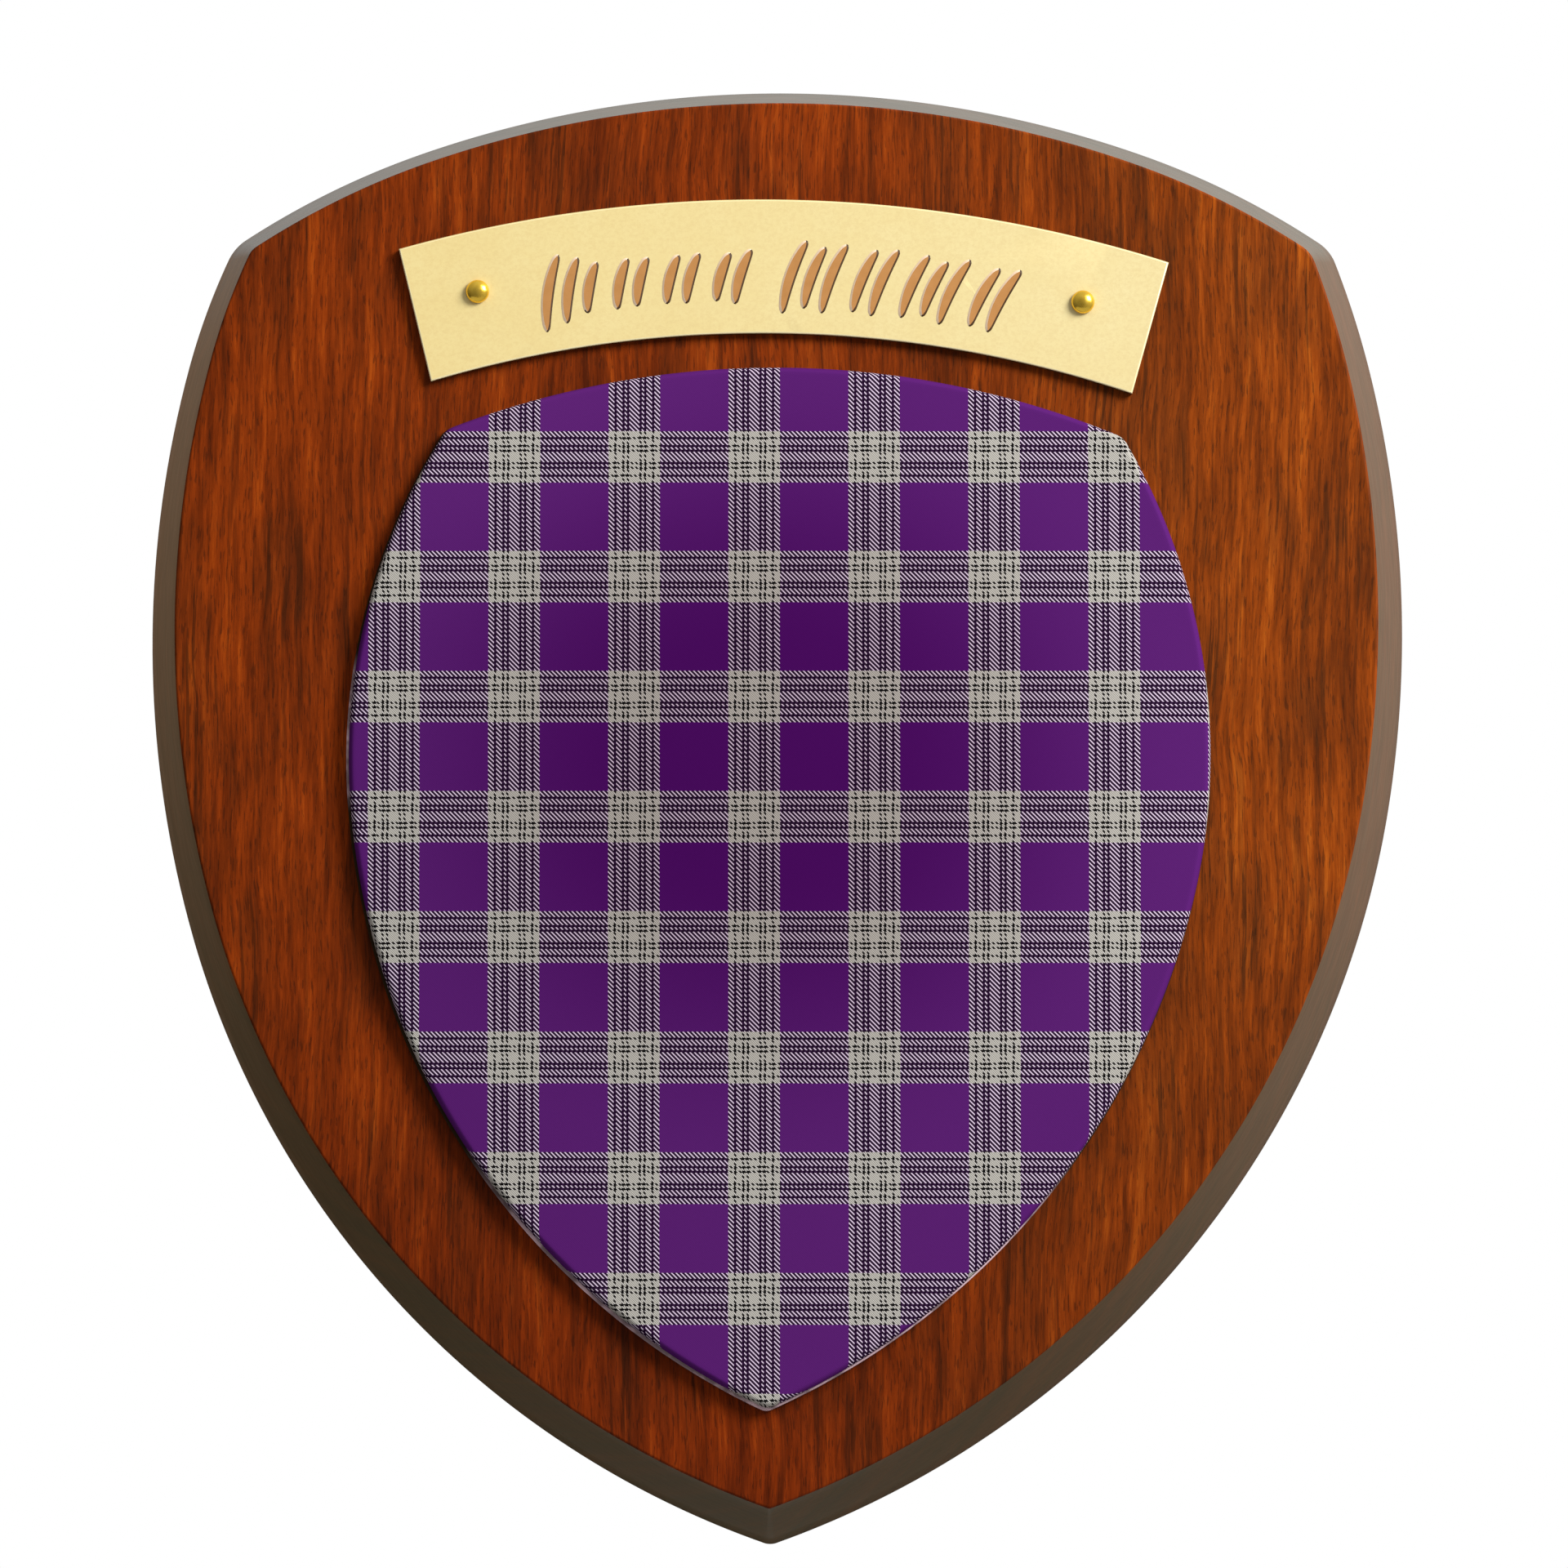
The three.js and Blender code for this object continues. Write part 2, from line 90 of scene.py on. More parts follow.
def shield_arcs(s):
    top = (s["topX"], s["height"] / 2 - s["topR"], s["topR"])
    sides = []
    for sign, (r, turn, rise, head_r, out, end_r, corner) in ((1, s["right"]), (-1, s["left"])):
        ux, uz, a = s["width"] / 2 - r, s["widest"], math.radians(turn)
        at = lambda q: (ux + (r - q) * math.cos(a), uz - (r - q) * math.sin(a), q)
        lo, hi = s["width"] * 0.55, r * 1.6
        for _ in range(60):
            mid = (lo + hi) / 2
            c = at(mid)
            reach = c[1] - math.sqrt(mid * mid - (c[0] - sign * s["tipX"]) ** 2)
            lo, hi = (mid, hi) if reach > -s["height"] / 2 else (lo, mid)
        h, t = math.radians(rise), math.acos((out - sign * s["topX"]) / s["topR"])
        head = (ux + (r - head_r) * math.cos(h), uz + (r - head_r) * math.sin(h), head_r)
        end = (sign * top[0] + (s["topR"] - end_r) * math.cos(t), top[1] + (s["topR"] - end_r) * math.sin(t), end_r)
        sides.append(dict(sign=sign, upper=(ux, uz, r), lower=at((lo + hi) / 2), turn=a, head=head, rise=h, end=end, join=t, corner=corner))
    return dict(spec=s, top=top, sides=sides)


def fillet(a, b, f, pick):
    ra, rb = a[2] - f, b[2] - f
    dx, dz = b[0] - a[0], b[1] - a[1]
    d = math.hypot(dx, dz)
    k = (ra * ra - rb * rb + d * d) / (2 * d)
    q = math.sqrt(max(ra * ra - k * k, 0))
    mx, mz = a[0] + dx * k / d, a[1] + dz * k / d
    p, r = (mx + q * dz / d, mz - q * dx / d), (mx - q * dz / d, mz + q * dx / d)
    return p if pick(p) > pick(r) else r


def arc(out, c, r, start, end, n):
    for i in range(n):
        t = start + (end - start) * i / n
        out.append((c[0] + r * math.cos(t), c[1] + r * math.sin(t)))


def outline(arcs, inset, k, tip_r, n):
    """Points of the shield outline moved in by inset, anticlockwise in (x, z)."""
    inside = lambda c: (c[0], c[1], c[2] - inset)
    across = lambda c: (-c[0],) + tuple(c[1:])
    right, left = arcs["sides"]
    tip = fillet(inside(right["lower"]), across(inside(left["lower"])), tip_r, lambda p: -p[1])
    halves = []
    for s in arcs["sides"]:
        sign = s["sign"]
        t = inside(arcs["top"] if sign > 0 else across(arcs["top"]))
        e, h, u, l = inside(s["end"]), inside(s["head"]), inside(s["upper"]), inside(s["lower"])
        foot, shoulder = tip if sign > 0 else across(tip), lerp(*s["corner"], k)
        f = fillet(e, h, shoulder, lambda p: p[0])
        top_end, head_start = math.atan2(f[1] - e[1], f[0] - e[0]), math.atan2(f[1] - h[1], f[0] - h[0])
        lower_end = math.atan2(foot[1] - l[1], foot[0] - l[0])
        half = []
        arc(half, t, t[2], math.pi / 2, s["join"], n[0])
        arc(half, e, e[2], s["join"], top_end, n[1])
        arc(half, f, shoulder, top_end, head_start, n[2])
        arc(half, h, h[2], head_start, s["rise"], n[3])
        arc(half, u, u[2], s["rise"], -s["turn"], n[4])
        arc(half, l, l[2], -s["turn"], lower_end, n[5])
        arc(half, foot, tip_r, lower_end, -math.pi / 2, n[6])
        half.append((foot[0], foot[1] - tip_r))
        halves.append([(sign * x, z) for x, z in half])
    return (halves[0] + halves[1][1:-1][::-1])[::-1]


board_arcs, panel_arcs = shield_arcs(BOARD), shield_arcs(PANEL)


def reach(side, z):
    c = side["upper"] if z > side["upper"][1] - side["upper"][2] * math.sin(side["turn"]) else side["lower"]
    return c[0] + math.sqrt(max(c[2] ** 2 - (z - c[1]) ** 2, 0))


def dome(x, z):
    """The panel's swell in its own axes: 0 at its edge, about 1 at its highest."""
    right, left = panel_arcs["sides"]
    tx, tz, tr = panel_arcs["top"]
    wide = max(reach(right, z) - x, 0) * max(reach(left, z) + x, 0)
    head = max(tz + math.sqrt(tr ** 2 - (x - tx) ** 2) - z, 0)
    foot = max(z + PANEL["height"] / 2, 0)
    return (4 * wide / PANEL["width"] ** 2) * (4 * head * foot / PANEL["height"] ** 2) ** 0.8


# ----------------------------------------------------------------- meshes


def ring_mesh(name, rings, caps=(True, True), mats=()):
    """A closed mesh from rings of points in millimetres, back to front."""
    n = len(rings[0])
    verts = [Vector(p) * 0.001 for r in rings for p in r]
    faces = []
    for k in range(len(rings) - 1):
        for i in range(n):
            j = (i + 1) % n
            faces.append((k * n + i, k * n + j, (k + 1) * n + j, (k + 1) * n + i))
    if caps[0]:
        faces.append(tuple(range(n))[::-1])
    if caps[1]:
        faces.append(tuple((len(rings) - 1) * n + i for i in range(n)))
    me = bpy.data.meshes.new(name)
    me.from_pydata(verts, [], faces)
    me.validate()
    ob = bpy.data.objects.new(name, me)
    scene.collection.objects.link(ob)
    for m in mats:
        me.materials.append(m)
    return ob


def outward(ob):
    """Turns the faces out and smooths them, with a crease round every large flat face."""
    bm = bmesh.new()
    bm.from_mesh(ob.data)
    bmesh.ops.recalc_face_normals(bm, faces=bm.faces)
    for f in bm.faces:
        f.smooth = True
    for e in bm.edges:
        e.smooth = True
        if len(e.link_faces) == 2:
            a, b = e.link_faces
            big = max(len(a.verts), len(b.verts)) > 8 and a.normal.angle(b.normal, 0) > 0.02
            e.smooth = not (big or a.normal.angle(b.normal, 0) > math.radians(32))
    bm.to_mesh(ob.data)
    bm.free()


def cut(ob, others, operation="DIFFERENCE"):
    """Booleans ob with each of the others, then removes them."""
    for o in others:
        m = ob.modifiers.new("cut", "BOOLEAN")
        m.operation, m.solver, m.object = operation, "EXACT", o
        dg = bpy.context.evaluated_depsgraph_get()
        me = bpy.data.meshes.new_from_object(ob.evaluated_get(dg))
        ob.modifiers.clear()
        old, ob.data = ob.data, me
        bpy.data.meshes.remove(old)
    for o in others:
        data = o.data
        bpy.data.objects.remove(o)
        bpy.data.meshes.remove(data)


def rod(r, y0, y1, x, z, sides=40):
    ring = lambda y: [(x + r * math.cos(-2 * math.pi * i / sides), y, z + r * math.sin(-2 * math.pi * i / sides)) for i in range(sides)]
    ob = ring_mesh("rod", [ring(y0), ring(y1)])
    outward(ob)
    return ob


def srgb(r, g, b):
    lin = lambda v: v / 12.92 if v <= 0.04045 else ((v + 0.055) / 1.055) ** 2.4
    return (lin(r / 255), lin(g / 255), lin(b / 255), 1.0)


# -------------------------------------------------------------- materials


class Nodes:
    """Short names for the nodes of one material."""

    def __init__(self, name):
        self.mat = bpy.data.materials.new(name)
        self.mat.use_nodes = True
        self.nt = self.mat.node_tree
        self.nt.nodes.clear()
        self.out = self.nt.nodes.new("ShaderNodeOutputMaterial")
        self.bsdf = self.nt.nodes.new("ShaderNodeBsdfPrincipled")
        self.nt.links.new(self.bsdf.outputs[0], self.out.inputs[0])

    def put(self, sock, v):
        if hasattr(v, "is_output"):
            self.nt.links.new(v, sock)
        elif v is not None:
            sock.default_value = v

    def set(self, **kw):
        for k, v in kw.items():
            self.put(self.bsdf.inputs[k.replace("_", " ")], v)

    def m(self, op, a, b=None, c=None, clamp=False):
        n = self.nt.nodes.new("ShaderNodeMath")
        n.operation, n.use_clamp = op, clamp
        for s, v in zip(n.inputs, (a, b, c)):
            self.put(s, v)
        return n.outputs[0]

    def v(self, op, a, b=None):
        n = self.nt.nodes.new("ShaderNodeVectorMath")
        n.operation = op
        for s, v in zip(n.inputs, (a, b)):
            self.put(s, v)
        return n.outputs[1] if op in ("DOT_PRODUCT", "LENGTH") else n.outputs[0]

    def mm(self):
        """Object coordinates in millimetres, whole and split into x, y, z."""
        t = self.nt.nodes.new("ShaderNodeTexCoord")
        p = self.v("MULTIPLY", t.outputs["Object"], (1000, 1000, 1000))
        s = self.nt.nodes.new("ShaderNodeSeparateXYZ")
        self.nt.links.new(p, s.inputs[0])
        return p, s.outputs[0], s.outputs[1], s.outputs[2]

    def vec(self, x, y, z):
        n = self.nt.nodes.new("ShaderNodeCombineXYZ")
        for s, v in zip(n.inputs, (x, y, z)):
            self.put(s, v)
        return n.outputs[0]

    def noise(self, vec, scale=1.0, detail=3.0, rough=0.5, warp=0.0):
        n = self.nt.nodes.new("ShaderNodeTexNoise")
        self.put(n.inputs["Vector"], vec)
        n.inputs["Scale"].default_value, n.inputs["Detail"].default_value = scale, detail
        n.inputs["Roughness"].default_value, n.inputs["Distortion"].default_value = rough, warp
        return n.outputs[0]

    def ramp(self, fac, stops, kind="LINEAR"):
        n = self.nt.nodes.new("ShaderNodeValToRGB")
        n.color_ramp.interpolation = kind
        el = n.color_ramp.elements
        while len(el) > 1:
            el.remove(el[-1])
        for i, (p, c) in enumerate(stops):
            e = el[0] if i == 0 else el.new(p)
            e.position = p
            e.color = c if len(c) == 4 else (*c, 1)
        self.put(n.inputs[0], fac)
        return n.outputs[0]

    def span(self, v, a, b, c=0.0, d=1.0, kind="SMOOTHSTEP"):
        n = self.nt.nodes.new("ShaderNodeMapRange")
        n.interpolation_type = kind
        self.put(n.inputs[0], v)
        for i, k in zip((1, 2, 3, 4), (a, b, c, d)):
            n.inputs[i].default_value = k
        return n.outputs[0]

    def mix(self, fac, a, b, kind="MIX"):
        n = self.nt.nodes.new("ShaderNodeMix")
        n.data_type, n.blend_type, n.clamp_factor = "RGBA", kind, True
        self.put(n.inputs[0], fac)
        self.put(n.inputs[6], a)
        self.put(n.inputs[7], b)
        return n.outputs[2]

    def bump(self, height, strength, distance):
        n = self.nt.nodes.new("ShaderNodeBump")
        n.inputs["Strength"].default_value, n.inputs["Distance"].default_value = strength, distance
        self.put(n.inputs["Height"], height)
        self.put(self.bsdf.inputs["Normal"], n.outputs[0])


def wood_grain(g):
    """Colour and height of upright, streaky, reddish brown wood."""
    p, x, y, z = g.mm()
    drift = g.m("MULTIPLY", g.m("SUBTRACT", g.noise(g.vec(g.m("MULTIPLY", x, 0.03), 0.0, g.m("MULTIPLY", z, 0.03)), 1, 2), 0.5), 4.0)
    gx = g.m("ADD", x, drift)
    gx = g.m("ADD", gx, g.m("MULTIPLY", y, 0.55))
    cloud = g.noise(g.vec(g.m("MULTIPLY", gx, 0.07), 3.1, g.m("MULTIPLY", z, 0.035)), 1, 2, 0.5)
    broad = g.noise(g.vec(g.m("MULTIPLY", gx, 0.30), 5.1, g.m("MULTIPLY", z, 0.028)), 1, 3, 0.55)
    streak = g.noise(g.vec(g.m("MULTIPLY", gx, 1.05), 9.7, g.m("MULTIPLY", z, 0.065)), 1, 3, 0.6)
    fine = g.noise(g.vec(g.m("MULTIPLY", gx, 2.4), 1.3, g.m("MULTIPLY", z, 0.16)), 1, 6, 0.74)
    pore = g.noise(g.vec(g.m("MULTIPLY", gx, 4.4), 5.9, g.m("MULTIPLY", z, 0.42)), 1, 2, 0.5)
    patch = g.noise(g.vec(g.m("MULTIPLY", gx, 0.16), 2.7, g.m("MULTIPLY", z, 0.05)), 1, 3, 0.6)
    line = g.noise(g.vec(g.m("MULTIPLY", gx, 1.7), 4.4, g.m("MULTIPLY", z, 0.05)), 1, 4, 0.6)
    tone = g.m("ADD", g.m("ADD", g.m("MULTIPLY", cloud, 0.18), g.m("MULTIPLY", broad, 0.22)),
               g.m("ADD", g.m("MULTIPLY", streak, 0.26), g.m("MULTIPLY", fine, 0.34)))
    colour = g.ramp(tone, [
        (0.31, srgb(54, 19, 4)), (0.40, srgb(81, 28, 3)), (0.47, srgb(105, 38, 3)),
        (0.545, srgb(132, 50, 4)), (0.64, srgb(164, 72, 10)), (0.73, srgb(190, 98, 22))])
    # darker figure in broad patches, dark growth lines in them, and short open pores
    figure = g.span(patch, 0.44, 0.66)
    colour = g.mix(g.m("MULTIPLY", figure, 0.30), colour, srgb(62, 30, 8))
    rows = g.m("MULTIPLY", g.span(line, 0.54, 0.61), g.m("ADD", 0.30, g.m("MULTIPLY", figure, 0.35)))
    colour = g.mix(rows, colour, srgb(50, 22, 5))
    dark = g.span(pore, 0.58, 0.63)
    colour = g.mix(g.m("MULTIPLY", dark, 0.50), colour, srgb(44, 18, 4))
    return p, x, y, z, colour, fine, dark, tone


def wood_face():
    g = Nodes("wood_face")
    p, x, y, z, colour, fine, dark, tone = wood_grain(g)
    # lighter and warmer to the right, darker towards the tip and at the lower left
    side = g.span(x, -70, 72, 0.0, 1.0, "LINEAR")
    colour = g.mix(side, colour, g.mix(1.0, colour, (1.14, 1.18, 1.9, 1), "MULTIPLY"))
    colour = g.mix(g.span(x, -5, 55), colour, g.mix(1.0, colour, (1.02, 1.30, 1.12, 1), "MULTIPLY"))
    low = g.span(z, 10, -85)
    colour = g.mix(low, colour, g.mix(1.0, colour, (0.75, 0.66, 0.60, 1), "MULTIPLY"))
    left = g.m("MULTIPLY", g.span(x, -20, -60), g.span(z, -30, -60))
    colour = g.mix(left, colour, g.mix(1.0, colour, (0.84, 0.80, 0.70, 1), "MULTIPLY"))
    g.set(Base_Color=colour, Roughness=g.span(fine, 0.3, 0.7, 0.44, 0.58))
    g.set(Specular_IOR_Level=0.05)
    h = g.m("SUBTRACT", fine, g.m("MULTIPLY", dark, 0.6))
    g.bump(h, 0.25, 0.00003)
    return g.mat


def wood_edge():
    g = Nodes("wood_edge")
    p, x, y, z, colour, fine, dark, tone = wood_grain(g)
    along = g.noise(g.vec(g.m("MULTIPLY", x, 0.2), g.m("MULTIPLY", y, 1.6), g.m("MULTIPLY", z, 0.2)), 1, 3, 0.5)
    base = g.mix(0.80, colour, srgb(80, 76, 49))
    base = g.mix(g.span(along, 0.35, 0.65), base, g.mix(1.0, base, (0.85, 0.85, 0.84, 1), "MULTIPLY"))
    g.set(Base_Color=base, Roughness=g.span(along, 0.3, 0.7, 0.30, 0.34))
    g.set(Specular_IOR_Level=0.5)
    g.bump(along, 0.05, 0.00002)
    return g.mat


def wood_back():
    g = Nodes("wood_back")
    p, x, y, z, colour, fine, dark, tone = wood_grain(g)
    pale = g.mix(1.0, colour, (1.8, 2.5, 3.8, 1), "MULTIPLY")
    base = g.mix(0.30, pale, srgb(166, 116, 74))
    band = g.noise(g.vec(g.m("MULTIPLY", x, 0.16), g.m("MULTIPLY", y, 0.16), g.m("MULTIPLY", z, 0.012)), 1, 3, 0.6)
    base = g.mix(g.span(band, 0.40, 0.62, 0.0, 0.8), base, g.mix(1.0, base, (0.74, 0.68, 0.60, 1), "MULTIPLY"))
    g.set(Base_Color=base, Roughness=g.span(fine, 0.3, 0.7, 0.6, 0.78))
    g.set(Specular_IOR_Level=0.3)
    g.bump(g.m("SUBTRACT", fine, dark), 0.4, 0.00006)
    return g.mat


def card():
    g = Nodes("card")
    p, x, y, z = g.mm()
    n = g.noise(p, 1.4, 4, 0.6)
    fibre = g.noise(g.vec(g.m("MULTIPLY", x, 1.2), g.m("MULTIPLY", y, 14), g.m("MULTIPLY", z, 1.2)), 1, 2)
    patch = g.noise(p, 0.16, 3, 0.6)
    c = g.mix(n, srgb(226, 188, 200), srgb(244, 218, 226))
    c = g.mix(g.m("MULTIPLY", fibre, 0.3), c, srgb(170, 134, 140))
    # painted shade: the rim is painted dark brown, except at the foot of the shield and on the upper part of the left
    # side, where the pale card shows through in patches
    unshaded = g.m("MAXIMUM", g.span(z, -42, -56), g.m("MULTIPLY", g.span(g.m("ABSOLUTE", g.m("SUBTRACT", z, 8.0)), 10, 5), g.m("LESS_THAN", x, 0.0)))
    unshaded = g.m("MULTIPLY", unshaded, g.span(patch, 0.58, 0.48, 0.35, 1.0))
    c = g.mix(unshaded, srgb(44, 32, 18), c)
    g.set(Base_Color=c, Roughness=g.span(n, 0.3, 0.7, 0.7, 0.9))
    g.set(Specular_IOR_Level=0.08)
    g.bump(fibre, 0.4, 0.00004)
    return g.mat


THREAD = 0.1382           # pitch of the cloth's threads
SETT = 105                # threads in one repeat
CLOTH_U0, CLOTH_V0 = -3.606, -3.943   # middle of one white band each way


def tartan():
    """Balanced 2/2 twill: warp and weft follow the same sett, and the top thread shows."""
    g = Nodes("tartan")
    a = g.nt.nodes.new("ShaderNodeAttribute")
    a.attribute_type, a.attribute_name = "GEOMETRY", "weave"
    s = g.nt.nodes.new("ShaderNodeSeparateXYZ")
    g.nt.links.new(a.outputs["Vector"], s.inputs[0])
    u, v = s.outputs[0], s.outputs[1]
    wob = g.noise(g.vec(g.m("MULTIPLY", u, 0.35), g.m("MULTIPLY", v, 0.35), 0.0), 1, 2)
    wob2 = g.noise(g.vec(g.m("MULTIPLY", v, 0.35), 7.3, g.m("MULTIPLY", u, 0.35)), 1, 2)
    tu = g.m("ADD", g.m("DIVIDE", g.m("SUBTRACT", u, CLOTH_U0), THREAD), g.m("MULTIPLY", g.m("SUBTRACT", wob, 0.5), 0.5))
    tv = g.m("ADD", g.m("DIVIDE", g.m("SUBTRACT", v, CLOTH_V0), THREAD), g.m("MULTIPLY", g.m("SUBTRACT", wob2, 0.5), 0.5))
    iu, iv = g.m("FLOOR", g.m("ADD", tu, 0.5)), g.m("FLOOR", g.m("ADD", tv, 0.5))
    fu, fv = g.m("SUBTRACT", tu, iu), g.m("SUBTRACT", tv, iv)   # -0.5 to 0.5 across the thread

    def masks(i):
        d = g.m("ABSOLUTE", g.m("SUBTRACT", g.m("FLOORED_MODULO", g.m("ADD", i, SETT // 2), float(SETT)), float(SETT // 2)))
        W, K, P = (1, 0, 0, 1), (0, 1, 0, 1), (0, 0, 0, 1)
        stops = [(0.0, W), (4.5, K), (6.5, W), (8.5, K), (10.5, W), (15.5, K), (17.5, W), (22.5, P)]
        c = g.ramp(g.m("DIVIDE", d, 53.0), [(q / 53.0, w) for q, w in stops], "CONSTANT")
        n = g.nt.nodes.new("ShaderNodeSeparateColor")
        g.nt.links.new(c, n.inputs[0])
        return n.outputs[0], n.outputs[1]

    wu, ku = masks(iu)
    wv, kv = masks(iv)
    phase = g.m("FLOORED_MODULO", g.m("ADD", iu, iv), 4.0)
    top = g.m("LESS_THAN", phase, 1.5)                # 1 where the upright thread is on top
    pick = lambda a1, b1: g.m("ADD", g.m("MULTIPLY", top, a1), g.m("MULTIPLY", g.m("SUBTRACT", 1.0, top), b1))
    tw, tk, uw, uk = pick(wu, wv), pick(ku, kv), pick(wv, wu), pick(kv, ku)
    L = lambda r, gg, b: (r, gg, b, 1.0)
    run = g.m("FLOORED_MODULO", g.m("ADD", g.m("ADD", tu, tv), 1.5), 4.0)
    off = g.m("ABSOLUTE", g.m("SUBTRACT", run, 2.0))              # 0 on the middle of an upright float, 2 between
    q = pick(off, g.m("SUBTRACT", 2.0, off))
    side = g.span(q, 0.25, 0.95)
    # painted shade between threads: each white float is painted dark along its sides, darkest where purple lies under
    # it
    white = g.mix(uk, g.mix(uw, g.mix(side, L(0.74, 0.62, 0.79), L(0.08, 0.05, 0.09)),
                            g.mix(side, L(0.52, 0.51, 0.47), L(0.21, 0.20, 0.18))),
                  g.mix(side, L(0.60, 0.58, 0.56), L(0.10, 0.10, 0.09)))
    black = g.mix(uk, g.mix(uw, L(0.012, 0.004, 0.017), L(0.005, 0.004, 0.004)), L(0.003, 0.003, 0.003))
    # painted shade and painted sheen: the purple is painted darker in the middle of the dome and lighter towards its
    # edge
    p, x, y, z = g.mm()
    rx, rz = g.m("ADD", x, 1.5), g.m("DIVIDE", g.m("SUBTRACT", z, 5.0), 0.95)
    out = g.span(g.m("POWER", g.m("ADD", g.m("MULTIPLY", rx, rx), g.m("MULTIPLY", rz, rz)), 0.5), 14.0, 54.0)
    solid = g.mix(out, L(0.0655, 0.0026, 0.1200), L(0.0858, 0.0118, 0.1425))
    # painted light: the purple is painted lighter towards the upper left of the dome
    solid = g.mix(g.m("MULTIPLY", g.span(z, 15, 50), g.span(x, 10, -35)), solid, g.mix(1.0, solid, L(1.12, 1.22, 1.10), "MULTIPLY"))
    # painted shade between threads: the purple field is painted darker along the sides of its floats
    solid = g.mix(g.m("MULTIPLY", side, 0.5), solid, g.mix(1.0, solid, L(0.86, 0.86, 0.86), "MULTIPLY"))
    # painted shade: a purple float over white is painted near black; over black it is painted a dark purple
    purple = g.mix(uk, g.mix(uw, solid, L(0.014, 0.004, 0.020)), L(0.022, 0.005, 0.032))
    colour = g.mix(tk, g.mix(tw, purple, white), black)
    # painted shade: every thread is painted darker in the middle of the dome
    colour = g.mix(out, g.mix(1.0, colour, L(0.77, 0.73, 0.73), "MULTIPLY"), colour)
    edge = g.m("MULTIPLY", q, q)
    fuzz = g.noise(g.vec(g.m("MULTIPLY", tu, 0.9), g.m("MULTIPLY", tv, 0.9), 0.0), 1, 3, 0.7)
    colour = g.mix(g.span(fuzz, 0.3, 0.7, 0.0, 0.14), colour, g.mix(1.0, colour, L(0.6, 0.55, 0.62), "MULTIPLY"))
    g.set(Base_Color=colour, Roughness=g.span(fuzz, 0.3, 0.7, 0.62, 0.8))
    g.set(Specular_IOR_Level=0.02)
    g.bump(g.m("SUBTRACT", g.m("MULTIPLY", top, 0.25), edge), 0.2, 0.00002)
    return g.mat


def plate_brass():
    g = Nodes("plate_brass")
    p, x, y, z = g.mm()
    cloud = g.noise(p, 0.22, 4, 0.6)
    grain = g.noise(g.vec(g.m("MULTIPLY", x, 2.2), g.m("MULTIPLY", y, 2.0), g.m("MULTIPLY", z, 2.6)), 1, 4, 0.65)
    c = g.mix(cloud, srgb(225, 204, 138), srgb(231, 215, 155))
    c = g.mix(g.span(grain, 0.35, 0.7, 0.0, 0.6), c, srgb(218, 196, 135))
    # a touch less yellow towards the right end
    c = g.mix(g.span(x, -46, 46, 0.0, 1.0, "LINEAR"), c, g.mix(1.0, c, (0.94, 0.97, 1.10, 1), "MULTIPLY"))
    g.set(Base_Color=c, Roughness=g.span(grain, 0.3, 0.7, 0.58, 0.68))
    g.set(Metallic=0.20, Specular_IOR_Level=0.3)
    g.bump(grain, 0.2, 0.00001)
    return g.mat


# painted highlight: a pale brass for the plate's rounded edge where it does not face up
def plate_rim_highlight():
    g = Nodes("plate_rim_highlight")
    p, x, y, z = g.mm()
    n = g.noise(p, 1.3, 3)
    g.set(Base_Color=g.mix(n, srgb(255, 240, 184), srgb(255, 246, 200)), Roughness=g.span(n, 0.3, 0.7, 0.32, 0.45))
    g.set(Metallic=0.3, Specular_IOR_Level=0.5)
    return g.mat


# painted shade: the plate's thin sides are painted dark brown, standing for the dark shadow line along its edge
def plate_side_shade():
    g = Nodes("plate_side_shade")
    p, x, y, z = g.mm()
    n = g.noise(g.vec(g.m("MULTIPLY", x, 0.8), g.m("MULTIPLY", y, 5.0), g.m("MULTIPLY", z, 0.8)), 1, 3)
    g.set(Base_Color=g.mix(n, srgb(70, 54, 14), srgb(110, 88, 34)), Roughness=g.span(n, 0.3, 0.7, 0.45, 0.6))
    g.set(Metallic=0.6, Specular_IOR_Level=0.4)
    return g.mat


def stroke_top():
    g = Nodes("stroke_top")
    p, x, y, z = g.mm()
    n = g.noise(p, 0.9, 3)
    g.set(Base_Color=g.mix(n, srgb(172, 120, 64), srgb(190, 137, 82)), Roughness=g.span(n, 0.3, 0.7, 0.62, 0.74))
    g.set(Metallic=0.12, Specular_IOR_Level=0.2)
    return g.mat


# painted shade: dark brown for the stroke walls that face right and down
def stroke_painted_shade():
    g = Nodes("stroke_painted_shade")
    p, x, y, z = g.mm()
    n = g.noise(p, 2.0, 3)
    g.set(Base_Color=g.mix(n, srgb(44, 26, 6), srgb(78, 50, 18)), Roughness=g.span(n, 0.3, 0.7, 0.5, 0.7))
    g.set(Specular_IOR_Level=0.3)
    return g.mat


# painted highlight: pale for the stroke walls that face left and up
def stroke_painted_highlight():
    g = Nodes("stroke_painted_highlight")
    p, x, y, z = g.mm()
    n = g.noise(p, 2.0, 3)
    g.set(Base_Color=g.mix(n, srgb(236, 206, 178), srgb(244, 220, 190)), Roughness=g.span(n, 0.3, 0.7, 0.4, 0.55))
    g.set(Metallic=0.2, Specular_IOR_Level=0.5)
    return g.mat


def pin_brass():
    g = Nodes("pin_brass")
    p, x, y, z = g.mm()
    n = g.noise(p, 1.6, 3)
    g.set(Base_Color=g.mix(n, srgb(238, 188, 56), srgb(252, 216, 90)), Roughness=g.span(n, 0.3, 0.7, 0.20, 0.26))
    g.set(Metallic=1.0)
    g.bump(n, 0.12, 0.00004)
    return g.mat


# ------------------------------------------------------------ plate's axes

